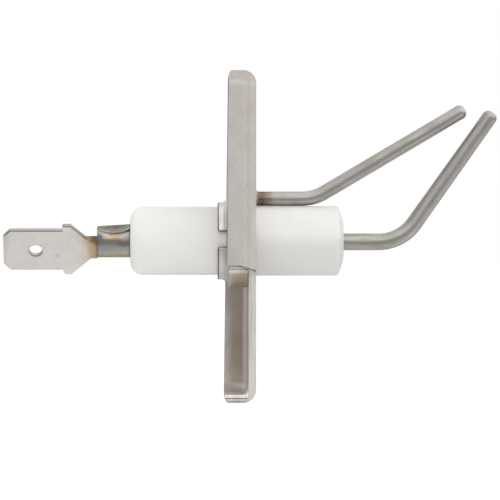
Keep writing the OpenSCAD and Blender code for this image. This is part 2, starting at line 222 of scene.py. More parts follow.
class TerminalSettings(bpy.types.PropertyGroup):
    """Finish of the tab terminal."""
    edge_round: length("Edge rounding", "Rounding of the terminal's edges", 0.09, 0, 0.3)
    barrel_length: length("Barrel length", "Length of the rolled barrel", 4.45)
    blade_turn: turn("Tab turn", "Turn of the tab about the barrel, from level", 55)
    detent_at: length("Hole distance", "Distance of the tab's hole from its tip", 4.35)
    plate: colour("Plate", "Colour of the clean tab", 244, 239, 233)
    plate_dull: colour("Dull plate", "Colour of the tab's duller clouds", 237, 231, 225)
    shear: colour("Sheared edge", "Colour of the tab's sheared edges", 184, 180, 175)
    dark_edge_line: colour("Burr", "Colour of the fine line between face and edge", 112, 106, 100)
    straw: colour("Straw tint", "Heat tint where the neck starts", 222, 208, 184)
    brown: colour("Brown tint", "Heat tint between neck and barrel", 146, 112, 82)
    teal: colour("Teal tint", "Heat tint on the lapped top", 112, 154, 148)
    olive: colour("Olive tint", "Heat tint along the barrel's top", 136, 132, 102)
    blue: colour("Blue tint", "Heat tint at the barrel's rear end", 84, 94, 126)
    pink: colour("Pink tint", "Heat tint along the lapped edge", 196, 134, 148)
    pale: colour("Pale tint", "Heat tint below the lapped edge", 214, 206, 180)
    orange: colour("Orange tint", "Heat tint at the middle of the barrel", 178, 136, 116)
    slate: colour("Slate tint", "Heat tint towards the barrel's front", 160, 164, 170)
    under: colour("Underside", "Heat tint on the barrel's underside", 186, 182, 164)
    roughness: share("Roughness", "Roughness of the terminal", 0.34)


class StageSettings(bpy.types.PropertyGroup):
    """Camera, light and floor."""
    distance: length("Camera distance", "Distance from the camera to the object", 520, 100, 5000)
    view_width: length("View width", "Width that the camera sees at the object", 67.6, 20, 500)
    azimuth: turn("Azimuth", "Turn of the camera round the object", -0.8)
    elevation: turn("Elevation", "Height of the camera above the horizon", 0.2)
    floor_level: length("Floor level", "Depth of the floor below the insulator's axis", 52, 22, 200)
    lamp_power: FloatProperty(name="Lamp", description="Power of the soft lamp overhead, in watts",
                              default=0.5, min=0.0, max=20.0)


# ---------------------------------------------------------------------------------------------
# Node trees
# ---------------------------------------------------------------------------------------------

def rgba(tone):
    """A grey given as one number, or a colour, with full cover added."""
    return (tone, tone, tone, 1.0) if isinstance(tone, (int, float)) else (*tone, 1.0)


def dimmed(tone, factor):
    """The colour, darker by the factor."""
    return tuple(part * factor for part in tone)


class Number:
    """A number that a node tree works out, with the usual sums."""

    def __init__(self, tree, socket):
        self.tree = tree
        self.socket = socket

    def __add__(self, other):
        return self.tree.sum("ADD", self, other)

    def __sub__(self, other):
        return self.tree.sum("SUBTRACT", self, other)

    def __rsub__(self, other):
        return self.tree.sum("SUBTRACT", other, self)

    def __mul__(self, other):
        return self.tree.sum("MULTIPLY", self, other)

    def __truediv__(self, other):
        return self.tree.sum("DIVIDE", self, other)

    def __lt__(self, other):
        return self.tree.sum("LESS_THAN", self, other)


class Tree:
    """A node tree, with short calls for the nodes that the finishes and the groups need."""

    def __init__(self, tree):
        self.tree = tree
        tree.nodes.clear()

    def node(self, kind, inputs=None, **settings):
        made = self.tree.nodes.new(kind)
        for key, value in settings.items():
            setattr(made, key, value)
        for key, value in (inputs or {}).items():
            self.feed(made.inputs[key], value)
        return made

    def feed(self, socket, value):
        if isinstance(value, Number):
            value = value.socket
        if isinstance(value, bpy.types.NodeSocket):
            self.tree.links.new(value, socket)
        else:
            socket.default_value = rgba(value) if socket.type == "RGBA" else value

    def number(self, kind, output=0, inputs=None, **settings):
        """A new node's output, as a number to reckon with."""
        return Number(self, self.node(kind, inputs, **settings).outputs[output])

    def sum(self, operation, first, second=0.0):
        return self.number("ShaderNodeMath", 0, {0: first, 1: second}, operation=operation)

    def vectors(self, operation, first, second):
        made = self.node("ShaderNodeVectorMath", {0: first, 1: second}, operation=operation)
        return made.outputs[0]

    def parts(self, vector):
        split = self.node("ShaderNodeSeparateXYZ", {0: vector})
        return [Number(self, part) for part in split.outputs]

    def line(self, value, low, high, to_low=0.0, to_high=1.0, ease="LINEAR"):
        """The value mapped evenly from one range to another, and held at the ends."""
        return self.number("ShaderNodeMapRange", "Result", {
            "Value": value, "From Min": low, "From Max": high, "To Min": to_low, "To Max": to_high},
            interpolation_type=ease)

    def span(self, value, low, high, to_low=0.0, to_high=1.0):
        """The value mapped smoothly from one range to another, and held at the ends."""
        return self.line(value, low, high, to_low, to_high, "SMOOTHSTEP")

    def band(self, value, centre, half_width):
        """1 at the centre, falling smoothly to 0 at the half width on either side."""
        return self.span(self.sum("ABSOLUTE", value - centre), 0.0, half_width, 1.0, 0.0)

    def mix(self, factor, first, second, blend="MIX"):
        made = self.node("ShaderNodeMix", data_type="RGBA", blend_type=blend)
        self.feed(made.inputs["Factor"], factor)
        # Its colour sockets have the same names as its number sockets, so they go by place
        self.feed(made.inputs[6], first)
        self.feed(made.inputs[7], second)
        return made.outputs[2]

    def ramp(self, value, stops):
        """A colour that follows the value, from places and their tones."""
        made = self.node("ShaderNodeValToRGB", {"Fac": value})
        points = made.color_ramp.elements
        while len(points) < len(stops):
            points.new(0.5)
        for point, (place, tone) in zip(points, stops.items()):
            point.position = place
            point.color = rgba(tone)
        return made.outputs["Color"]


class Finish(Tree):
    """A piece's material, laid out in the piece's own coordinates."""

    def __init__(self, name):
        self.material = bpy.data.materials.new(name)
        self.material.use_nodes = True
        super().__init__(self.material.node_tree)
        self.place = self.node("ShaderNodeTexCoord").outputs["Object"]

    def noise(self, size, detail=2.0, roughness=0.5, stretch=None, over=None):
        """Noise whose lumps are about the given size, in metres, and longer where stretch is low."""
        vector = self.place if over is None else over
        if stretch is not None:
            vector = self.vectors("MULTIPLY", vector, stretch)
        return self.number("ShaderNodeTexNoise", "Fac", {
            "Vector": vector, "Scale": 1 / size, "Detail": detail, "Roughness": roughness})

    def distance(self, point):
        return self.number("ShaderNodeVectorMath", "Value", {0: self.place, 1: point},
                           operation="DISTANCE")

    def mark(self, name):
        """A number kept on the piece's faces."""
        return self.number("ShaderNodeAttribute", "Fac", attribute_name=name)

    def relief(self, height, depth, strength, under=None):
        """A bump normal from a height of 0 to 1, in metres of depth."""
        inputs = {"Height": height, "Distance": depth, "Strength": strength}
        if under is not None:
            inputs["Normal"] = under
        return self.node("ShaderNodeBump", inputs).outputs["Normal"]

    def uneven(self, pattern, middle, less=0.05, more=0.07):
        """Roughness that follows a pattern, from a little less to a little more than the middle."""
        return self.span(pattern, 0.3, 0.7, middle - less, middle + more)

    def laid(self, base, roughness, normal, metallic=1.0, specular=0.5):
        """The finished material."""
        surface = self.node("ShaderNodeBsdfPrincipled", {
            "Base Color": base, "Metallic": metallic, "Roughness": roughness,
            "Specular IOR Level": specular, "Normal": normal})
        self.node("ShaderNodeOutputMaterial", {"Surface": surface.outputs[0]})
        return self.material


# ---------------------------------------------------------------------------------------------
# Finishes
# ---------------------------------------------------------------------------------------------

def rolled_base(steel, clean, dull):
    """Cloudy grained steel: its colour, its tarnish from 0 to 1, and its normal."""
    clouds = steel.noise(4 * MM, 4, 0.6)
    grain = steel.noise(0.16 * MM, 3, 0.6, (1, 1, 0.25))
    fine = steel.noise(0.06 * MM)
    tarnish = grain * 0.35 + clouds * 0.65
    base = steel.mix(steel.span(tarnish, 0.36, 0.64), clean, dull)
    normal = steel.relief(fine, 0.004 * MM, 0.5, steel.relief(grain, 0.008 * MM, 0.5))
    return base, tarnish, normal


def pressed_steel(name, settings, half_width, low_end, high_end):
    """The bracket's rolled steel: painted shade inside the pan, painted light and shade at its ends,
    bends and edges, with bright cuts and dark sheared edges.
    """
    steel = Finish(name)
    base, tarnish, normal = rolled_base(steel, settings.steel, settings.steel_dull)
    along, across, up = steel.parts(steel.place)
    sheet, rim = settings.sheet, settings.rim_depth
    inner = half_width - sheet
    cut_at = settings.notch_depth - half_width
    within = steel.span(across, inner + 0.1 * MM, inner + 0.05 * MM)
    near_rim = across < cut_at - 0.3 * MM

    # Far half of the inside: painted shade of the pan's recess, more so low down, less towards the
    # rim's edge
    wavy = steel.noise(1.5 * MM, 3) * (0.8 * MM) + along
    painted_shade = steel.span(across, -0.06 * inner, 0.06 * inner) * within
    painted_shade *= steel.span(wavy, 0.5 * MM - rim, 1.9 * MM - rim)
    painted_shade *= steel.span(along, -sheet - 0.9 * MM, -sheet - 0.5 * MM, 1.0, 0.7)
    painted_shade *= steel.span(along, -0.45 * sheet, -0.55 * sheet)
    painted_shade *= steel.ramp(steel.line(up, low_end + sheet, 0.0), {
        0.0: 0.0, 0.06: 0.6, 0.2: 0.85, 0.36: 1.0, 0.55: 0.8, 0.75: 0.45})
    base = steel.mix(painted_shade, base, settings.inside, "MULTIPLY")

    # Ends of the pan, drawn round the corners: darker, painted shade of their rounding
    ends = steel.ramp(steel.line(up, low_end, high_end), {
        0.0: 0.7, 0.045: 1.0, 0.955: 1.0, 0.961: 0.85, 0.97: 0.7, 0.98: 0.68, 0.99: 0.7, 1.0: 0.8})
    base = steel.mix(1.0, base, ends, "MULTIPLY")

    # Cut through the face in the notch: brighter, with fine lines along it
    lines = steel.noise(0.22 * MM, 3, 0.6, (1, 1, 0.04))
    cut = steel.mix(steel.span(lines, 0.35, 0.65), srgb(250, 246, 240), srgb(230, 224, 217))
    in_cut = steel.span(across, cut_at + settings.cut_round * 1.1, cut_at + settings.cut_round)
    in_cut *= steel.span(across, cut_at - 0.1 * MM, cut_at - 0.05 * MM)
    base = steel.mix(in_cut, base, cut)

    # Low end of the cut: a painted highlight on the upper edge, a dark line, and painted shade on the
    # grey roll below
    end_cut = in_cut * steel.span(along, -1.0 * MM, -1.2 * MM)
    through = steel.line(up, low_end, low_end + sheet)
    warm, dark = (1.0, 0.98, 0.95), (0.42, 0.38, 0.35)
    layers = steel.ramp(through, {
        0.0: 0.55, 0.22: 0.6, 0.3: warm, 0.52: warm, 0.6: dark, 0.66: dark, 0.72: 1.0})
    base = steel.mix(end_cut, base, layers, "MULTIPLY")
    # A painted bright line just inside the cut; the metal shine is taken away there and on the upper
    # edge so that both render lighter
    painted_bright_line = steel.band(across, cut_at + 0.18 * MM, 0.2 * MM)
    painted_bright_line *= steel.span(along, 0.1 * MM - sheet, -0.3 * MM - sheet)
    painted_sheen = steel.sum("MAXIMUM", end_cut * steel.span(through, 0.68, 0.74), painted_bright_line * 0.5)

    # Inside bends, at the far wall and at the low end: a painted highlight, paler and less
    # mirror-like
    far_bend = steel.span(along, -1.75 * MM, -1.3 * MM)
    far_bend *= steel.band(across, inner - 0.4 * MM, 0.9 * MM)
    low_bend = steel.band(up, low_end + 1.5 * MM, 1.1 * MM)
    low_bend *= steel.span(across, cut_at + 1.2 * MM, cut_at + 3 * MM)
    low_bend *= steel.span(along, 0.2 * MM - sheet, -0.1 * MM - sheet)
    pale = steel.sum("MAXIMUM", far_bend, low_bend * 0.6) * within
    base = steel.mix(pale * 0.5, base, srgb(236, 228, 220))
    painted_sheen = steel.sum("MAXIMUM", painted_sheen, pale * 0.38)

    # Bend between the rim and the face: a soft band of painted shade on the outside
    bend = steel.band(along, -1.0 * MM, 0.6 * MM) * near_rim
    base = steel.mix(bend * 0.14, base, srgb(110, 104, 98))

    # Rim's free edge beside the collar: a dark line of painted shadow
    from_edge = along - up * settings.rim_lean + settings.rim_middle
    beside = steel.band(up, 0.0, 9 * MM) * steel.span(from_edge, 0.16 * MM, 0.06 * MM)
    base = steel.mix(beside * near_rim, base, srgb(140, 132, 124))

    # Notch's upper edge: a dark line of painted shade under its rounded edge, darker towards the
    # slope
    slope = steel.line(along, -settings.notch_slope, 0.0, 0.0, settings.notch_drop)
    above = up + settings.notch_level + slope
    dark_edge_line = steel.mix(steel.span(along, -2.8 * MM, -1.9 * MM),
                     srgb(168, 160, 150), srgb(112, 102, 92))
    base = steel.mix(near_rim * steel.band(above, 0.1 * MM, 0.22 * MM), base, dark_edge_line)

    base = steel.mix(steel.mark("sheared"), base, settings.shear)
    return steel.laid(base, steel.uneven(tarnish, settings.roughness), normal, 1.0 - painted_sheen)


def drawn_steel(name, settings, rear, shaded_below):
    """The collar's bright drawn steel: painted shade, a painted highlight band and a painted shadow
    line on the cup, dark on the tabs' sheared edges.
    """
    steel = Finish(name)
    base, tarnish, normal = rolled_base(steel, settings.steel, settings.steel_dull)
    along, _, up = steel.parts(steel.place)
    # Painted shade on the cup below the notch's edge, darker lower down
    on_cup = steel.span(along, rear, rear + 0.2 * MM)
    blotch = steel.noise(1.0 * MM, 3, 0.6) * (0.5 * MM) + up
    painted_shade = on_cup * steel.span(blotch, shaded_below + 0.3 * MM, shaded_below + 0.05 * MM)
    tone = steel.mix(steel.span(up, shaded_below, shaded_below - 2 * MM),
                     settings.painted_shade, dimmed(settings.painted_shade, 0.88))
    base = steel.mix(painted_shade, base, tone, "MULTIPLY")
    # Above the painted shade: a band of painted highlight, with a dark line of painted shadow on it
    clear = on_cup * steel.band(up, shaded_below + 0.3 * MM, 0.35 * MM)
    base = steel.mix(clear, base, srgb(255, 253, 250))
    line = on_cup * steel.band(up, shaded_below + 0.6 * MM, 0.14 * MM)
    base = steel.mix(line * 0.8, base, srgb(140, 128, 118))
    base = steel.mix(steel.mark("sheared"), base, settings.shear)
    return steel.laid(base, steel.uneven(tarnish, settings.roughness), normal)


def drawn_wire(name, settings, burnt_to=None):
    """Drawn resistance wire, with lines along it, and burnt brown near a weld."""
    wire = Finish(name)
    lay = wire.node("ShaderNodeAttribute", attribute_name="lay").outputs["Vector"]
    lines = wire.noise(0.13 * MM, 3, 0.55, (0.03, 1, 1), lay)
    clouds = wire.noise(1.6 * MM, 3, 0.6, (0.5, 1, 1), lay)
    tone = lines * 0.55 + clouds * 0.45
    base = wire.mix(wire.span(tone, 0.36, 0.66), settings.wire, settings.wire_dull)
    if burnt_to is not None:
        along = wire.parts(wire.place)[0]
        ragged = wire.noise(0.5 * MM, 3) * (0.7 * MM) + along
        tint = wire.ramp(wire.line(ragged, 0.2 * MM, burnt_to), {
            0.0: srgb(176, 168, 146), 0.1: settings.burn, 0.34: srgb(178, 162, 148),
            0.5: srgb(200, 186, 168), 0.7: srgb(226, 212, 202), 0.85: srgb(240, 226, 226),
            1.0: 1.0})
        base = wire.mix(wire.span(ragged, burnt_to * 0.7, burnt_to, 1.0, 0.0), base, tint, "MULTIPLY")
        spots = wire.span(wire.noise(0.5 * MM, 4, 0.65), 0.5, 0.62)
        spots *= wire.span(ragged, burnt_to * 0.62, burnt_to * 0.4)
        base = wire.mix(spots * 0.7, base, srgb(92, 84, 70))
    return wire.laid(base, wire.uneven(tone, settings.roughness, 0.04, 0.06),
                     wire.relief(lines, 0.006 * MM, 0.5))


def fired_ceramic(name, clean, roughness):
    """Unglazed alumina: an even off-white with a sandy skin and a few grey specks."""
    ceramic = Finish(name)
    clouds = ceramic.noise(5 * MM, 3)
    skin = ceramic.noise(0.12 * MM, 3, 0.6)
    specks = ceramic.span(ceramic.noise(0.35 * MM, 1, 0.4), 0.76, 0.82, 0.0, 0.25)
    base = ceramic.mix(ceramic.span(clouds, 0.35, 0.7), clean, dimmed(clean, 0.965))
    # Front part: painted shade, darker on its underside
    along, _, up = ceramic.parts(ceramic.place)
    duller = ceramic.span(along, -2 * MM, 0.0) * ceramic.span(up, 1.3 * MM, -0.9 * MM)
    base = ceramic.mix(duller * 0.85, base, dimmed(clean, 0.84))
    base = ceramic.mix(specks, base, srgb(196, 192, 184))
    return ceramic.laid(base, ceramic.uneven(skin, roughness, 0.05, 0.08),
                        ceramic.relief(skin, 0.012 * MM, 0.35), metallic=0.0, specular=0.4)


def set_cement(name, tone):
    """Dull porous cement."""
    cement = Finish(name)
    pores = cement.noise(0.18 * MM, 4, 0.65)
    base = cement.mix(cement.span(pores, 0.4, 0.65), tone, dimmed(tone, 0.72))
    return cement.laid(base, 0.85, cement.relief(pores, 0.05 * MM, 0.6), metallic=0.0)


def weld_bead(name):
    """Weld metal: greenish grey, with darker ripples."""
    weld = Finish(name)
    ripples = weld.noise(0.22 * MM, 3, 0.6)
    base = weld.ramp(weld.line(ripples, 0.3, 0.7), {
        0.0: srgb(120, 110, 94), 0.5: srgb(164, 160, 142), 1.0: srgb(200, 200, 184)})
    return weld.laid(base, weld.span(ripples, 0.3, 0.7, 0.35, 0.6),
                     weld.relief(ripples, 0.04 * MM, 0.6))


def soft_metal(name, tone, dark):
    """Soft metal with dark clouds, for the seat ring and the braze."""
    metal = Finish(name)
    clouds = metal.noise(0.6 * MM, 4, 0.6)
    base = metal.mix(metal.span(clouds, 0.35, 0.65), tone, dark)
    return metal.laid(base, metal.span(clouds, 0.3, 0.7, 0.4, 0.6),
                      metal.relief(clouds, 0.02 * MM, 0.4))


def tinted_plate(name, settings, barrel_rear, barrel_front, hole, facing):
    """The terminal's plating: clean on the tab, heat tinted on the neck and the barrel."""
    plate = Finish(name)
    along, _, up = plate.parts(plate.place)
    grain = plate.noise(0.13 * MM, 3, 0.6, (0.3, 1, 1))
    tarnish = grain * 0.35 + plate.noise(2.4 * MM, 4, 0.6) * 0.65
    body = plate.mix(plate.span(tarnish, 0.36, 0.64), settings.plate, settings.plate_dull)
    # A darker ring round the hole, and a darker spot nearer the neck: painted shade of a pressed ring
    # and a small dimple
    pressed = plate.band(plate.distance(hole), 0.95 * MM, 0.35 * MM)
    body = plate.mix(pressed * 0.35, body, settings.shear)
    dimpled = plate.span(plate.distance(hole + DIMPLE_FROM_HOLE), 0.7 * MM, 0.35 * MM)
    body = plate.mix(dimpled * 0.4, body, settings.shear)
    sheared = plate.mark("sheared")
    body = plate.mix(sheared, body, settings.shear)
    # Burr: a fine dark line on the sheared edge, where it meets the near face
    offset = plate.vectors("SUBTRACT", plate.place, hole)
    depth = plate.number("ShaderNodeVectorMath", "Value", {0: offset, 1: facing},
                         operation="DOT_PRODUCT")
    dark_edge_line = sheared * plate.span(depth, 0.1 * MM, 0.2 * MM)
    dark_edge_line *= plate.span(along, barrel_rear - 1.0 * MM, barrel_rear - 1.6 * MM)
    body = plate.mix(dark_edge_line, body, settings.dark_edge_line)

    # Neck: straw, then brown just before the barrel, and further back on its upper side
    blotch = plate.noise(0.9 * MM, 4, 0.6) - 0.5
    ragged = blotch * (1.4 * MM) + along
    slanted = up * 0.35 + ragged
    neck = plate.ramp(plate.line(slanted, barrel_rear - 2.9 * MM, barrel_rear + 0.2 * MM), {
        0.0: 1.0, 0.3: srgb(246, 241, 230), 0.52: settings.straw, 0.7: srgb(206, 184, 148),
        0.88: settings.brown, 1.0: srgb(116, 98, 96)})
    body = plate.mix(1.0, body, neck, "MULTIPLY")
    scorch = plate.band(ragged, barrel_rear - 0.6 * MM, 0.85 * MM)
    scorch *= plate.band(up, 0.05 * MM, 0.55 * MM)
    body = plate.mix(scorch * 0.75, body, srgb(122, 102, 78))

    wall, painted_fold_light = barrel_tints(plate, settings, blotch, barrel_rear, barrel_front)
    base = plate.mix(plate.span(along, barrel_rear - 0.2 * MM, barrel_rear + 0.05 * MM), body, wall)
    return plate.laid(base, plate.uneven(tarnish, settings.roughness),
                      plate.relief(grain, 0.008 * MM, 0.5), painted_fold_light * -0.7 + 1.0)


def barrel_tints(plate, settings, blotch, rear, front):
    """Temper colours round the barrel, laid out from the lap's curved edge, and a painted highlight
    along the lap's fold, with less metal shine.
    """
    along, _, up = plate.parts(plate.place)
    x = blotch * (1.5 * MM) + along
    z = blotch * (0.8 * MM) + up
    middle, half = (rear + front) / 2, (front - rear) / 2

    # Lap's edge: lowest at the middle of the barrel
    bow = plate.sum("POWER", (along - middle) / half, 2.0)
    lift = plate.line(z - plate.line(bow, 0.0, 1.0, 0.95 * MM, 1.6 * MM), -1.0 * MM, 1.0 * MM)
    top = plate.ramp(lift, {
        0.0: settings.pale, 0.34: settings.pale, 0.45: settings.pink, 0.55: srgb(196, 172, 184),
        0.62: settings.teal, 0.84: settings.olive, 1.0: srgb(120, 96, 78)})
    lower = plate.ramp(plate.line(z, -2.1 * MM, 0.9 * MM), {
        0.0: srgb(166, 150, 124), 0.15: settings.under, 0.45: srgb(170, 172, 168),
        0.62: srgb(142, 140, 130), 0.72: srgb(136, 124, 100), 0.86: srgb(196, 184, 156),
        1.0: settings.pale})
    wall = plate.mix(plate.span(z, 0.5 * MM, 0.9 * MM), lower, top)

    # Patches of tint: how far from the middle, as a share of the half length, and how high
    for tone, at, reach, height, spread, strength in (
            (settings.orange, 0.2, 0.6, 0.9 * MM, 0.8 * MM, 0.9),
            (settings.slate, 0.72, 0.45, 0.6 * MM, 1.1 * MM, 0.9),
            (settings.blue, -0.88, 0.4, 0.5 * MM, 1.0 * MM, 0.95),
            (settings.slate, -0.5, 0.6, -1.2 * MM, 1.0 * MM, 0.7),
            (srgb(120, 124, 128), 0.7, 0.6, -0.5 * MM, 0.6 * MM, 0.7)):
        patch = plate.band(x, middle + at * half, reach * half) * plate.band(z, height, spread)
        wall = plate.mix(patch * strength, wall, tone)

    ends = plate.span(plate.sum("ABSOLUTE", along - middle), half - 0.3 * MM, half)
    wall = plate.mix(ends * 0.6, wall, srgb(110, 92, 84))
    # Along the lap's fold: less metal shine, a painted highlight that lightens the crease
    painted_fold_light = plate.band(lift, 0.51, 0.1) * plate.span(along, rear, rear + 0.1 * MM)
    return wall, painted_fold_light


# ---------------------------------------------------------------------------------------------
# Shapes
# ---------------------------------------------------------------------------------------------

def finished_piece(name, mesh, material, slot, *nodes):
    """Adds the mesh as a piece that rides on the part and stands for the nodes."""
    piece = bpy.data.objects.new(name, mesh)
    bpy.context.scene.collection.objects.link(piece)
    mesh.materials.clear()
    mesh.materials.append(material)
    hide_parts(*nodes)
    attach(piece, "root")
    return piece


def finish_node(node, material):
    """Gives a hidden node of the frame its finish, and leaves its shape as it is."""
    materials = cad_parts[node].data.materials
    materials.clear()
    materials.append(material)


def mesh_of(shape, name):
    """The shape as a new mesh."""
    mesh = bpy.data.meshes.new(name)
    shape.to_mesh(mesh)
    shape.free()
    return mesh


def merged_copy(node):
    """A closed copy of a frame node's mesh, with its flat faces merged."""
    shape = bmesh.new()
    shape.from_mesh(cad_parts[node].data)
    bmesh.ops.remove_doubles(shape, verts=shape.verts, dist=MERGE_DISTANCE)
    bmesh.ops.dissolve_limit(shape, angle_limit=MERGE_ANGLE, verts=shape.verts, edges=shape.edges)
    return mesh_of(shape, node + "_shape")


def skin_mesh(name, rows, closed=True):
    """A skin over rows of points: a closed ring of rows, or a bar with two flat ends."""
    shape = bmesh.new()
    rows = [[shape.verts.new(place) for place in row] for row in rows]
    following = rows[1:] + rows[:1] if closed else rows[1:]
    for here, there in zip(rows, following):
        for i in range(len(here)):
            j = (i + 1) % len(here)
            shape.faces.new((here[i], here[j], there[j], there[i]))
    if not closed:
        shape.faces.new(rows[0])
        shape.faces.new(rows[-1])
    bmesh.ops.recalc_face_normals(shape, faces=shape.faces)
    return mesh_of(shape, name)


def turned_mesh(name, profile, steps, wobble=0.0):
    """A closed ring about the X axis from a closed profile of (x, radius), both in metres.

    A third number in a profile point lowers its circle by that much.
    """
    rows = []
    for step in range(steps):
        angle = 2 * math.pi * step / steps
        row = []
        for x, radius, *lowered in profile:
            place = Vector((x, radius * math.cos(angle), radius * math.sin(angle) - sum(lowered)))
            if wobble:
                place.x += wobble * noise.noise(place / WOBBLE_SIZE)
            row.append(place)
        rows.append(row)
    return skin_mesh(name, rows)


def arc(centre_x, centre_r, radius, start, end, steps):
    """Profile points on an arc, with angles in degrees from +X towards larger radius."""
    points = []
    for i in range(steps + 1):
        angle = math.radians(start + (end - start) * i / steps)
        points.append((centre_x + radius * math.cos(angle), centre_r + radius * math.sin(angle)))
    return points


def smooth_by_angle(mesh, degrees):
    """Smooth shading, with creases kept where faces meet at more than the angle."""
    mesh.shade_smooth()
    mesh.set_sharp_from_angle(angle=math.radians(degrees))


def settle(piece):
    """Replaces the piece's mesh by what its modifiers make, and removes them."""
    shown = piece.evaluated_get(bpy.context.evaluated_depsgraph_get())
    mesh = bpy.data.meshes.new_from_object(shown)
    old = piece.data
    piece.modifiers.clear()
    piece.data = mesh
    if old.users == 0:
        bpy.data.meshes.remove(old)


def round_edges(piece, width, degrees, segments=2):
    """Rounds the piece's sharp edges, and applies the rounding."""
    bevel = piece.modifiers.new("Edge wear", "BEVEL")
    bevel.width = width
    bevel.segments = segments
    bevel.limit_method = "ANGLE"
    bevel.angle_limit = math.radians(degrees)
    bevel.use_clamp_overlap = True
    bevel.miter_outer = "MITER_ARC"
    settle(piece)
    smooth_by_angle(piece.data, degrees)
    keep_flats_flat(piece.data)


def keep_flats_flat(mesh):
    """Shades large faces flat, and the narrow faces beside them smoothly on from there."""
    flats = {}
    for face in mesh.polygons:
        if face.area > LEAST_FLAT_AREA:
            for corner in face.vertices:
                flats.setdefault(corner, []).append(face.normal.copy())
    # A zero vector leaves a corner's normal as it was
    normals = [Vector() for _ in mesh.loops]
    for face in mesh.polygons:
        for loop in face.loop_indices:
            for flat in flats.get(mesh.loops[loop].vertex_index, ()):
                if face.normal.dot(flat) > SHADED_ON:
                    normals[loop] = flat
    mesh.normals_split_custom_set(normals)


def mark_sheared(mesh, is_sheared):
    """Marks the faces that are sheared, by a test of a face's centre and its normal."""
    marks = mesh.attributes.new("sheared", "FLOAT", "CORNER")
    for face in mesh.polygons:
        value = float(is_sheared(face.center, face.normal))
        for corner in face.loop_indices:
            marks.data[corner].value = value


def add_aimed(scene, name, data, place, way):
    """Adds a lamp or a camera at the place, looking along the way."""
    made = bpy.data.objects.new(name, data)
    made.location = place
    made.rotation_mode = "QUATERNION"
    made.rotation_quaternion = way.to_track_quat("-Z", "Y")
    scene.collection.objects.link(made)
    return made


def bent_path(start, bend_at, level, radius, angle, reach, tip_round):
    """Centre line of a rod that runs along X, bends up and runs straight to its tip."""
    points = [Vector((start, 0, level)), Vector((start + 0.05 * MM, 0, level))]
    lead_steps, reach_steps, tip_steps = 12, 16, 8
    bend_steps = max(12, round(math.degrees(angle) / 2))
    for i in range(1, lead_steps + 1):
        points.append(Vector((start + (bend_at - start) * i / lead_steps, 0, level)))
    for i in range(1, bend_steps + 1):
        part = angle * i / bend_steps
        points.append(Vector((bend_at + radius * math.sin(part), 0,
                              level + radius * (1 - math.cos(part)))))
    foot, way = points[-1], Vector((math.cos(angle), 0, math.sin(angle)))
    for i in range(1, reach_steps + 1):
        points.append(foot + way * (reach - tip_round) * i / reach_steps)
    shoulder = points[-1]
    for i in range(1, tip_steps + 1):
        points.append(shoulder + way * tip_round * math.sin(math.pi / 2 * i / tip_steps))
    return points


# ---------------------------------------------------------------------------------------------
# Geometry groups
# ---------------------------------------------------------------------------------------------

def new_group(name, inputs):
    """A geometry tree with named inputs, and what it is given."""
    group = bpy.data.node_groups.new(name, "GeometryNodeTree")
    for way in ("INPUT", "OUTPUT"):
        group.interface.new_socket("Geometry", in_out=way, socket_type="NodeSocketGeometry")
    for label, kind in inputs.items():
        group.interface.new_socket(label, in_out="INPUT", socket_type="NodeSocket" + kind)
    tree = Tree(group)
    return tree, tree.node("NodeGroupInput").outputs


def end_group(tree, geometry, finish):
    """Ends the tree in real geometry with its finish."""
    real = tree.node("GeometryNodeRealizeInstances", {"Geometry": geometry})
    dressed = tree.node("GeometryNodeSetMaterial", {"Geometry": real.outputs[0], "Material": finish})
    tree.node("NodeGroupOutput", {"Geometry": dressed.outputs[0]})
    return tree.tree


def use_group(piece, group, values):
    """Puts the group on the piece, sets its inputs by their identifiers, and settles the result."""
    modifier = piece.modifiers.new(group.name, "NODES")
    modifier.node_group = group
    for item in group.interface.items_tree:
        if item.in_out == "INPUT" and item.name in values:
            modifier[item.identifier] = values[item.name]
    settle(piece)


def wire_group():
    """Sweeps a round wire along a path, with a taper and a rounded tip."""
    tree, given = new_group("sweep_wire", {
        "Root diameter": "Float", "Tip diameter": "Float", "Taper from": "Float",
        "Tip rounding": "Float", "Sides": "Int", "Finish": "Material"})
    path = tree.node("GeometryNodeMeshToCurve", {"Mesh": given["Geometry"]})
    along = tree.number("GeometryNodeSplineParameter", "Length")
    whole = tree.number("GeometryNodeSplineLength", "Length")

    # Radius: even to the taper's start, then down to the tip, which is a quarter round
    diameter = tree.line(along, given["Taper from"], whole, given["Root diameter"],
                         given["Tip diameter"])
    tip = Number(tree, given["Tip rounding"])
    back = tip - tree.sum("MINIMUM", whole - along, tip)
    rest = tree.sum("SQRT", tree.sum("MAXIMUM", tip * tip - back * back, 0.0))
    radius = diameter * 0.5 - (tip - rest)

    kept = tree.node("GeometryNodeCaptureAttribute", domain="POINT")
    kept.capture_items.new("FLOAT", "Along")
    tree.feed(kept.inputs["Geometry"], path.outputs["Curve"])
    tree.feed(kept.inputs["Along"], along)
    circle = tree.node("GeometryNodeCurvePrimitiveCircle",
                       {"Resolution": given["Sides"], "Radius": 1.0}, mode="RADIUS")
    section = tree.node("GeometryNodeCaptureAttribute", domain="POINT")
    section.capture_items.new("VECTOR", "Section")
    tree.feed(section.inputs["Geometry"], circle.outputs["Curve"])
    tree.feed(section.inputs["Section"], tree.node("GeometryNodeInputPosition").outputs[0])
    sweep = tree.node("GeometryNodeCurveToMesh", {
        "Curve": kept.outputs["Geometry"], "Profile Curve": section.outputs["Geometry"],
        "Scale": radius, "Fill Caps": True})

    # Lay of the wire: distance along it, and place in its section
    sideways, upward, _ = tree.parts(section.outputs["Section"])
    lay = tree.node("ShaderNodeCombineXYZ", {
        0: kept.outputs["Along"], 1: sideways * MM, 2: upward * MM})
    stored = tree.node("GeometryNodeStoreNamedAttribute", data_type="FLOAT_VECTOR", domain="POINT")
    for label, value in (("Name", "lay"), ("Geometry", sweep.outputs["Mesh"]),
                         ("Value", lay.outputs[0])):
        tree.feed(stored.inputs[label], value)
    return end_group(tree, stored.outputs["Geometry"], given["Finish"])


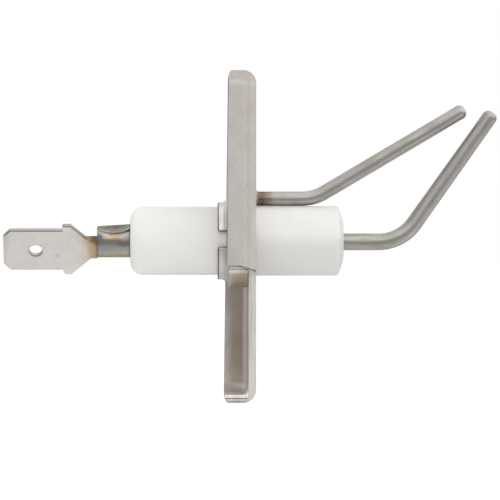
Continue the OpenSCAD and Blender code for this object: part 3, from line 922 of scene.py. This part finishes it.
def crimp_group():
    """Sets copies of one tab round the X axis and joins them to the cup."""
    tree, given = new_group("crimp_tabs", {
        "Tab": "Object", "Count": "Int", "First turn": "Float", "Finish": "Material"})
    tab = tree.node("GeometryNodeObjectInfo", {"Object": given["Tab"]})
    points = tree.node("GeometryNodePoints", {"Count": given["Count"]})
    step = tree.sum("DIVIDE", 2 * math.pi, given["Count"])
    turn_about_x = tree.number("GeometryNodeInputIndex") * step + given["First turn"]
    spin = tree.node("ShaderNodeCombineXYZ", {0: turn_about_x})
    turned = tree.node("FunctionNodeEulerToRotation", {0: spin.outputs[0]})
    copies = tree.node("GeometryNodeInstanceOnPoints", {
        "Points": points.outputs[0], "Instance": tab.outputs["Geometry"],
        "Rotation": turned.outputs[0]})
    joined = tree.node("GeometryNodeJoinGeometry")
    for geometry in (copies.outputs[0], given["Geometry"]):
        tree.feed(joined.inputs[0], geometry)
    return end_group(tree, joined.outputs[0], given["Finish"])


# ---------------------------------------------------------------------------------------------
# Operators
# ---------------------------------------------------------------------------------------------

class PressBracket(bpy.types.Operator):
    """Makes the bracket from the frame's pan, with worn edges and a rolled steel finish"""
    bl_idname = "electrode.press_bracket"
    bl_label = "Press bracket"
    bl_options = {"REGISTER", "UNDO"}

    def execute(self, context):
        settings = context.scene.electrode_bracket
        low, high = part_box("bracket")
        mesh = merged_copy("bracket")
        self.round_cut(mesh, settings.notch_depth - high.y, settings.cut_round)
        finish = pressed_steel("pressed steel", settings, high.y, low.z, high.z)
        piece = finished_piece("pressed_bracket", mesh, finish, "bracket_steel", "bracket")
        round_edges(piece, settings.edge_round, degrees=35)
        # Faces that look back are sheared, as far as the rim's edge reaches
        edge = low.x + 1.5 * MM
        mark_sheared(piece.data, lambda centre, normal: normal.x < -0.2 and centre.x < edge)
        return {"FINISHED"}

    def round_cut(self, mesh, cut_at, width):
        """Rounds both long edges of the cut through the face in the notch."""
        shape = bmesh.new()
        shape.from_mesh(mesh)

        def in_cut(face):
            return all(abs(corner.co.y - cut_at) < IN_PLANE for corner in face.verts)

        edges = [edge for edge in shape.edges
                 if len(edge.link_faces) == 2 and sum(in_cut(face) for face in edge.link_faces) == 1]
        bmesh.ops.bevel(shape, geom=edges, offset=width, segments=4, profile=0.5, affect="EDGES",
                        clamp_overlap=True)
        shape.to_mesh(mesh)
        shape.free()


class CrimpCollar(bpy.types.Operator):
    """Turns the collar's cup, crimps its tabs over the insulator and finishes the seat ring"""
    bl_idname = "electrode.crimp_collar"
    bl_label = "Crimp collar"
    bl_options = {"REGISTER", "UNDO"}

    def execute(self, context):
        settings = context.scene.electrode_collar
        low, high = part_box("crimp_collar")
        front, rear = -settings.sheet, -settings.sheet - settings.cup_length
        floor = front - settings.lip
        hole = context.scene.electrode_insulator.front_radius + INSULATOR_GAP
        edge, rear_edge = settings.edge_round, 0.3 * MM
        profile = [(front, hole), (front, high.y - edge),
                   *arc(front - edge, high.y - edge, edge, 0, 90, 4),
                   *arc(rear + rear_edge, high.y - rear_edge, rear_edge, 90, 180, 6),
                   (rear, settings.flange_radius), (floor, settings.flange_radius), (floor, hole)]
        cup = turned_mesh("collar_cup", profile, steps=144)
        smooth_by_angle(cup, degrees=30)
        # Where the cup's painted shade starts, below the notch's edge
        shaded_below = -context.scene.electrode_bracket.notch_level - 0.9 * MM
        finish = drawn_steel("collar steel", settings, rear, shaded_below)
        piece = finished_piece("crimped_collar", cup, finish, "collar_steel", "crimp_collar")

        tab = bpy.data.objects.new("tab_pattern", self.tab(settings, rear, low.x))
        context.scene.collection.objects.link(tab)
        round_edges(tab, edge, degrees=40, segments=3)
        end = low.x + edge * 1.1
        mark_sheared(tab.data, lambda centre, normal: self.tab_edge(centre, normal, end))
        # The first tab starts after the slot on the near side
        first = -math.pi / 2 + settings.slot_turn + math.pi / settings.tab_count
        use_group(piece, crimp_group(), {"Tab": tab, "Count": settings.tab_count,
                                         "First turn": first, "Finish": finish})
        bpy.data.objects.remove(tab)
        finish_node("seat_ring", soft_metal("seat metal", srgb(176, 174, 170), srgb(140, 138, 134)))
        return {"FINISHED"}

    def tab_edge(self, centre, normal, end):
        """The tab's end and its two sides are sheared, and its outside and inside aren't."""
        outward = Vector((0, centre.y, centre.z)).normalized()
        sideways = Vector((0, -outward.z, outward.y))
        return (normal.x < -0.25 and centre.x < end) or abs(normal.dot(sideways)) > 0.6

    def tab(self, settings, rear, end):
        """One tab about the +Y direction, bent in over the insulator's shoulder."""
        inner, bore, wall = settings.neck_radius, settings.flange_radius, settings.tab_thickness
        section = [(end, inner), (end, inner + wall), (rear - bore + inner, inner + wall),
                   (rear, bore + wall), (rear, bore), (rear + bore - inner, bore), (rear, inner)]
        half = math.pi / settings.tab_count - settings.slot_angle / 2
        steps = 20
        rows = []
        for i in range(steps + 1):
            angle = -half + 2 * half * i / steps
            rows.append([(x, r * math.cos(angle), r * math.sin(angle)) for x, r in section])
        return skin_mesh("tab_pattern", rows, closed=False)


class FireInsulator(bpy.types.Operator):
    """Turns the ceramic insulator and fills both of its pockets with cement"""
    bl_idname = "electrode.fire_insulator"
    bl_label = "Fire insulator"
    bl_options = {"REGISTER", "UNDO"}

    def execute(self, context):
        settings = context.scene.electrode_insulator
        rear, front = (corner.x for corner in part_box("insulator"))
        mesh = turned_mesh("insulator_body", self.profile(settings, rear, front), steps=160)
        smooth_by_angle(mesh, degrees=32)
        finish = fired_ceramic("fired ceramic", settings.ceramic, settings.roughness)
        finished_piece("ceramic_insulator", mesh, finish, "ceramic", "insulator")

        cement = set_cement("set cement", settings.cement)
        rod = context.scene.electrode_rods.spark_root / 2
        # The rod lies low in the bore, by this much
        drop = -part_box("spark_rod")[0].z - rod
        gap = 0.01 * MM
        inner, outer = rod + gap, settings.pocket_radius - gap
        for name, node, face, back in (("front_cement_fill", "front_cement", front, -1),
                                       ("rear_cement_fill", "rear_cement", rear, 1)):
            floor = face + back * settings.pocket_depth
            rim = [(face + back * dip * MM, inner + (outer - inner) * part, drop * (1 - part))
                   for part, dip in CEMENT_DISH]
            fill = turned_mesh(name, [(floor, inner, drop), *rim, (floor, outer)], steps=96,
                               wobble=0.04 * MM)
            smooth_by_angle(fill, degrees=40)
            finished_piece(name, fill, cement, "cement", node)
        return {"FINISHED"}

    def profile(self, settings, rear, front):
        """Half section of the insulator, from its rear pocket round the outside to the bore."""
        body, nose, pocket = settings.rear_radius, settings.front_radius, settings.pocket_radius
        round_rear, round_nose = settings.rear_round, settings.nose_round
        flange, flange_front = settings.flange_radius, -settings.flange_front
        nose_x = front - settings.nose_drop
        small = 0.12 * MM
        rear_floor, front_floor = rear + settings.pocket_depth, front - settings.pocket_depth
        return [(rear, pocket + small),
                *arc(rear + round_rear, body - round_rear, round_rear, 180, 90, 10),
                (-settings.shoulder_end, body), (-settings.flange_rear, flange),
                (flange_front, flange), (flange_front, nose),
                *arc(nose_x - round_nose, nose - round_nose, round_nose, 90, 20, 8),
                (front - 0.06 * MM, settings.nose_flat + 0.45 * MM), (front, settings.nose_flat),
                (front, pocket + small), (front - small, pocket), (front_floor, pocket),
                (front_floor, settings.bore_radius), (rear_floor, settings.bore_radius),
                (rear_floor, pocket), (rear + small, pocket)]


class BendRods(bpy.types.Operator):
    """Sweeps the spark rod and the earth rod along their bent paths"""
    bl_idname = "electrode.bend_rods"
    bl_label = "Bend rods"
    bl_options = {"REGISTER", "UNDO"}

    def execute(self, context):
        settings = context.scene.electrode_rods
        sweep = wire_group()
        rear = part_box("spark_rod")[0]
        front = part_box("insulator")[1].x
        spark = bent_path(rear.x, front + settings.spark_lead, rear.z + settings.spark_root / 2,
                          settings.spark_bend_radius, settings.spark_angle,
                          settings.spark_reach, settings.tip_round)
        earth = bent_path(0.0, settings.earth_lead, earth_level(settings),
                          settings.earth_bend_radius, settings.earth_angle,
                          settings.earth_reach, settings.tip_round)
        for node, wire, path, root, tip, taper_from in (
                ("spark_rod", drawn_wire("spark wire", settings), spark,
                 settings.spark_root, settings.spark_tip, front - rear.x),
                ("earth_rod", drawn_wire("earth wire", settings, burnt_to=3.2 * MM), earth,
                 settings.earth_diameter, settings.earth_diameter, 0.0)):
            line = bpy.data.meshes.new(node + "_path")
            line.from_pydata(path, [(i, i + 1) for i in range(len(path) - 1)], [])
            swept = bpy.data.objects.new(node + "_wire", line)
            context.scene.collection.objects.link(swept)
            use_group(swept, sweep, {"Root diameter": root, "Tip diameter": tip,
                                     "Taper from": taper_from, "Tip rounding": settings.tip_round,
                                     "Sides": 48, "Finish": wire})
            mesh = swept.data
            bpy.data.objects.remove(swept)
            smooth_by_angle(mesh, degrees=50)
            finished_piece(node + "_wire", mesh, wire, "rod_wire", node)
        return {"FINISHED"}


def earth_level(settings):
    """Height of the earth rod's centre line where it leaves the bracket."""
    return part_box("earth_rod")[0].z + settings.earth_diameter / 2


class WeldEarthRod(bpy.types.Operator):
    """Lays the uneven weld bead round the earth rod's foot, clear of the insulator"""
    bl_idname = "electrode.weld_earth_rod"
    bl_label = "Weld earth rod"
    bl_options = {"REGISTER", "UNDO"}

    def execute(self, context):
        settings = context.scene.electrode_rods
        level = earth_level(settings)
        foot = settings.earth_diameter / 2 + ROD_GAP
        clear = context.scene.electrode_insulator.front_radius + INSULATOR_GAP
        steps = 72
        rows = []
        for i in range(steps):
            angle = 2 * math.pi * i / steps
            out = Vector((0, math.cos(angle), math.sin(angle)))
            lump = 0.5 + 0.5 * noise.noise(out * BEAD_LUMPS + BEAD_START)
            width = settings.bead_width * (0.55 + 0.45 * lump)
            height = settings.bead_height * (0.5 + 0.5 * lump)
            row = []
            for high, wide in BEAD_SECTION:
                place = out * (foot + width * wide) + Vector((height * high, 0, level))
                reach = math.hypot(place.y, place.z)
                if reach < clear:
                    place.y *= clear / reach
                    place.z *= clear / reach
                row.append(place)
            rows.append(row)
        mesh = skin_mesh("earth_weld_bead", rows)
        smooth_by_angle(mesh, degrees=60)
        finished_piece("earth_weld_bead", mesh, weld_bead("weld metal"), "weld_metal", "earth_weld")
        return {"FINISHED"}


class RollTerminal(bpy.types.Operator):
    """Makes the tab terminal with its rolled barrel, heat tints and braze"""
    bl_idname = "electrode.roll_terminal"
    bl_label = "Roll terminal"
    bl_options = {"REGISTER", "UNDO"}

    def execute(self, context):
        settings = context.scene.electrode_terminal
        tip, barrel_front = (corner.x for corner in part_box("tab_terminal"))
        barrel_rear = barrel_front - settings.barrel_length
        mesh = merged_copy("tab_terminal")
        # The tab's plane: the middle of its tip, and the way that its near side faces
        corners = [corner.co for corner in mesh.vertices if corner.co.x < tip + IN_PLANE]
        middle = sum(corners, Vector()) / len(corners)
        facing = Vector((0, -math.sin(settings.blade_turn), -math.cos(settings.blade_turn)))
        hole = middle + Vector((settings.detent_at, 0, 0))
        finish = tinted_plate("heat tinted plate", settings, barrel_rear, barrel_front, hole, facing)
        piece = finished_piece("rolled_tab_terminal", mesh, finish, "plated_tab", "tab_terminal")
        round_edges(piece, settings.edge_round, degrees=28)
        # The tab's rim is sheared, and its two faces, their chamfers and the barrel aren't
        mark_sheared(piece.data, lambda centre, normal: (
            centre.x < barrel_rear and abs(normal.dot(facing)) < TAB_FACE))
        finish_node("terminal_braze", soft_metal("braze", srgb(168, 150, 116), srgb(112, 100, 80)))
        return {"FINISHED"}


class SetStage(bpy.types.Operator):
    """Sets the floor, the soft light and the camera"""
    bl_idname = "electrode.set_stage"
    bl_label = "Set stage"
    bl_options = {"REGISTER", "UNDO"}

    def execute(self, context):
        settings = context.scene.electrode_stage
        scene = context.scene
        scene.view_settings.view_transform = "Standard"
        self.light_world(scene)
        self.lay_floor(scene, settings)
        self.hang_lamp(scene, settings)
        self.set_camera(scene, settings)
        return {"FINISHED"}

    def light_world(self, scene):
        """White behind the object, soft light on it, and a darker band for metal to mirror."""
        world = bpy.data.worlds.new("studio")
        world.use_nodes = True
        world.cycles.sampling_method = "NONE"
        scene.world = world
        sky = Tree(world.node_tree)
        right, ahead, above = sky.parts(sky.node("ShaderNodeTexCoord").outputs["Generated"])
        height = sky.line(above, -1.0, 1.0)
        mirrored = sky.ramp(height, {0.0: 0.76, 0.13: 0.68, 0.24: 0.56, 0.34: 0.44, 0.46: 0.4,
                                     0.51: 0.48, 0.57: 0.8, 0.66: 1.0, 0.8: 1.25, 1.0: 1.2})
        # Duller from behind and above, brighter from the right than from the left
        behind = sky.span(ahead, 0.2, 0.8) * sky.span(above, 0.2, 0.7)
        side = sky.span(right, -1.0, 1.0, 0.8, 1.15) * (behind * -0.35 + 1.0)
        # The bent rods show it duller high on the left and brighter low on the right
        high_left = sky.span(right, -0.3, -0.85) * sky.span(above, 0.15, 0.45)
        under_right = sky.span(right, 0.3, 0.85) * sky.span(above, -0.15, -0.45)
        side *= (high_left * -0.42 + 1.0) * (under_right * 0.32 + 1.0)
        mirrored = sky.node("ShaderNodeVectorMath", {0: mirrored, "Scale": side}, operation="SCALE")
        # Soft light is a little weaker from low on the right
        soft = sky.ramp(height, {0.0: 0.72, 0.45: 0.86, 1.0: 1.0})
        low_right = sky.span(right, 0.0, 0.9) * sky.span(above, 0.2, -0.4)
        soft = sky.mix(low_right * 0.4, soft, 0.4)
        path = sky.node("ShaderNodeLightPath").outputs
        seen = sky.mix(path["Is Glossy Ray"], soft, mirrored.outputs[0])
        seen = sky.mix(path["Is Camera Ray"], seen, 1.0)
        back = sky.node("ShaderNodeBackground", {"Color": seen, "Strength": 1.0})
        sky.node("ShaderNodeOutputWorld", {"Surface": back.outputs[0]})

    def lay_floor(self, scene, settings):
        """A wide pale floor that keeps the object's shadow and hides nothing from below."""
        shape = bmesh.new()
        bmesh.ops.create_grid(shape, x_segments=4, y_segments=4, size=FLOOR_REACH,
                              matrix=Matrix.Translation((0, 0, -settings.floor_level)))
        floor = bpy.data.objects.new("floor", mesh_of(shape, "floor"))
        scene.collection.objects.link(floor)
        material = bpy.data.materials.new("pale floor")
        material.use_nodes = True
        pale = Tree(material.node_tree)
        matt = pale.node("ShaderNodeBsdfDiffuse", {"Color": 0.85})
        path = pale.node("ShaderNodeLightPath").outputs
        glow = pale.node("ShaderNodeEmission", {
            "Strength": pale.sum("MULTIPLY", path["Is Camera Ray"], 0.3)})
        both = pale.node("ShaderNodeAddShader", {0: matt.outputs[0], 1: glow.outputs[0]})
        clear = pale.node("ShaderNodeBsdfTransparent")
        faces_down = pale.node("ShaderNodeNewGeometry").outputs["Backfacing"]
        mixed = pale.node("ShaderNodeMixShader", {
            0: faces_down, 1: both.outputs[0], 2: clear.outputs[0]})
        pale.node("ShaderNodeOutputMaterial", {"Surface": mixed.outputs[0]})
        floor.data.materials.append(material)
        floor.visible_glossy = False

    def hang_lamp(self, scene, settings):
        """One wide soft lamp overhead."""
        lamp = bpy.data.lights.new("overhead", "AREA")
        lamp.shape = "DISK"
        lamp.size = LAMP_WIDTH
        lamp.energy = settings.lamp_power
        hung = add_aimed(scene, "overhead", lamp, LAMP_PLACE, -LAMP_PLACE)
        hung.visible_glossy = False

    def set_camera(self, scene, settings):
        """The camera looks at the middle of the object, nearly along +Y."""
        low, high = CAD_BOX
        aim = Vector(((low.x + high.x) / 2, 0.0, 0.0)) + AIM_OFFSET
        azimuth, elevation = settings.azimuth, settings.elevation
        back = Vector((math.sin(azimuth) * math.cos(elevation),
                       -math.cos(azimuth) * math.cos(elevation), math.sin(elevation)))
        data = bpy.data.cameras.new("camera")
        data.sensor_width = 36.0
        data.lens = data.sensor_width * settings.distance / settings.view_width
        data.clip_start, data.clip_end = 0.05, 50.0
        scene.camera = add_aimed(scene, "camera", data, aim + back * settings.distance, -back)


class ElectrodePanel(bpy.types.Panel):
    """Lists the making steps and their settings"""
    bl_idname = "VIEW3D_PT_electrode"
    bl_label = "Ignition electrode"
    bl_space_type = "VIEW_3D"
    bl_region_type = "UI"
    bl_category = "Electrode"

    def draw(self, context):
        for owner, (_, *operators) in STEPS.items():
            box = self.layout.box()
            for operator in operators:
                box.operator(operator.bl_idname)
            settings = getattr(context.scene, owner)
            for name in settings.__annotations__:
                box.prop(settings, name)


# Each step's settings, and its operators
STEPS = {
    "electrode_bracket": (BracketSettings, PressBracket),
    "electrode_collar": (CollarSettings, CrimpCollar),
    "electrode_insulator": (InsulatorSettings, FireInsulator),
    "electrode_rods": (RodSettings, BendRods, WeldEarthRod),
    "electrode_terminal": (TerminalSettings, RollTerminal),
    "electrode_stage": (StageSettings, SetStage),
}
CLASSES = [made for step in STEPS.values() for made in step] + [ElectrodePanel]


def register():
    for made in CLASSES:
        bpy.utils.register_class(made)
    for name, step in STEPS.items():
        setattr(bpy.types.Scene, name, PointerProperty(type=step[0]))


def unregister():
    for name in STEPS:
        delattr(bpy.types.Scene, name)
    for made in reversed(CLASSES):
        bpy.utils.unregister_class(made)


def main():
    register()
    bpy.ops.electrode.set_stage()
    bpy.ops.electrode.press_bracket()
    bpy.ops.electrode.crimp_collar()
    bpy.ops.electrode.fire_insulator()
    bpy.ops.electrode.bend_rods()
    bpy.ops.electrode.weld_earth_rod()
    bpy.ops.electrode.roll_terminal()


if __name__ == "__main__":
    main()
